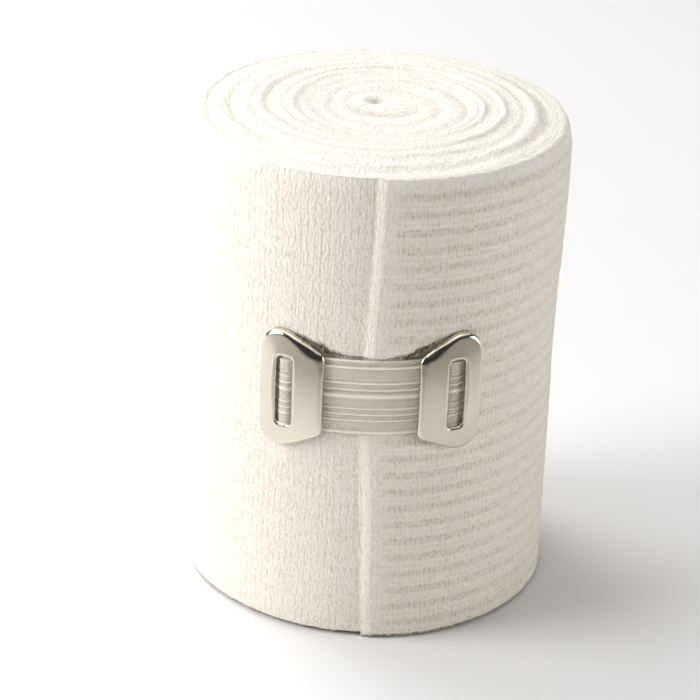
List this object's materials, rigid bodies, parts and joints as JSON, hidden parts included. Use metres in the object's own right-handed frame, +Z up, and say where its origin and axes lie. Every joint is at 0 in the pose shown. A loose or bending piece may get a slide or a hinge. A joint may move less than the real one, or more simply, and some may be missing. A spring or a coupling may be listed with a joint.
{
  "type": "elastic bandage roll with clip fastener",
  "caption": "Knitted elastic bandage wound into a roll that stands on one end, its free end held by a ribbed elastic strap with a slotted metal plate at each end.",
  "frame": {"origin": "on the surface that the roll stands on, under the middle of the whole object", "axes": "+Z up along the roll's axis, -Y towards the front, where the clip and the free end are, +X to the right of the clip"},
  "size_m": [0.0602, 0.0624, 0.0813],
  "materials": {
    "bandage_cloth": "knitted cotton with rubber threads, off-white, matt",
    "strap_webbing": "lengthwise ribbed elastic webbing, pale grey beige",
    "nickel_plate": "stamped steel, nickel plated, polished"
  },
  "bodies": {
    "root": {"bandage_roll": "bandage_cloth", "elastic_strap": "strap_webbing", "clip_plate_left": "nickel_plate", "clip_plate_right": "nickel_plate"}
  },
  "joints": []
}
